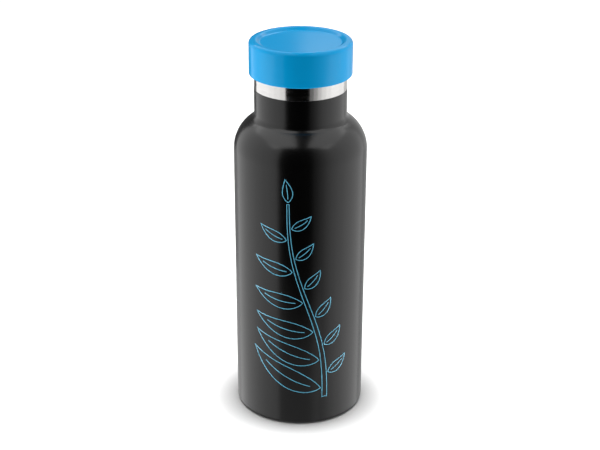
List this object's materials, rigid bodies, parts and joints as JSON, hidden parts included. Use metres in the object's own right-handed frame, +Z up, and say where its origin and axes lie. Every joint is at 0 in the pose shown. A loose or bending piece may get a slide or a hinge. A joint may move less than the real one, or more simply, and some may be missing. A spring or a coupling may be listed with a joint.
{
  "type": "vacuum water bottle",
  "caption": "Slim double-walled vacuum bottle, black coated steel with a bare steel neck band and a blue screw lid.",
  "frame": {"origin": "centre of the base, on the surface that the bottle stands on", "axes": "+Z up along the bottle's axis to the lid, the printed front faces -Y, +X to the right seen from the front"},
  "size_m": [0.073, 0.073, 0.216],
  "materials": {
    "black_coat": "satin",
    "bare_steel": "polished",
    "plain_steel": "satin",
    "inner_steel": "satin",
    "solder_glass": "gloss",
    "getter_metal": "matte",
    "copper_foil": "polished",
    "blue_plastic": "satin",
    "white_plastic": "satin",
    "foam": "matte",
    "silicone": "satin",
    "blue_ink": "satin"
  },
  "bodies": {
    "bottle": {"outer_shell": "black_coat", "outer_bottom": "plain_steel", "vacuum_plug": "solder_glass", "base_cover": "plain_steel", "getter_clip": "plain_steel", "getter_pellet": "getter_metal", "inner_vessel": "inner_steel", "inner_bottom": "inner_steel", "radiation_foil": "copper_foil", "neck_ring": "bare_steel"},
    "seal": {"lid_seal": "silicone"},
    "lid": {"lid_cap": "blue_plastic", "lid_insert": "white_plastic", "lid_insulation": "foam"}
  },
  "joints": [
    {"name": "lid_rise", "type": "slide", "parent": "bottle", "child": "seal", "axis": [0, 0, 1], "range_m": [0, 0.024]},
    {"name": "lid_turn", "type": "hinge", "parent": "seal", "child": "lid", "pos_m": [0, 0, 0.2], "axis": [0, 0, 1], "range_deg": [0, 1080]}
  ],
  "couplings": [
    {"joint": "lid_rise", "follows": "lid_turn", "m_per_rad": 0.0012732}
  ]
}
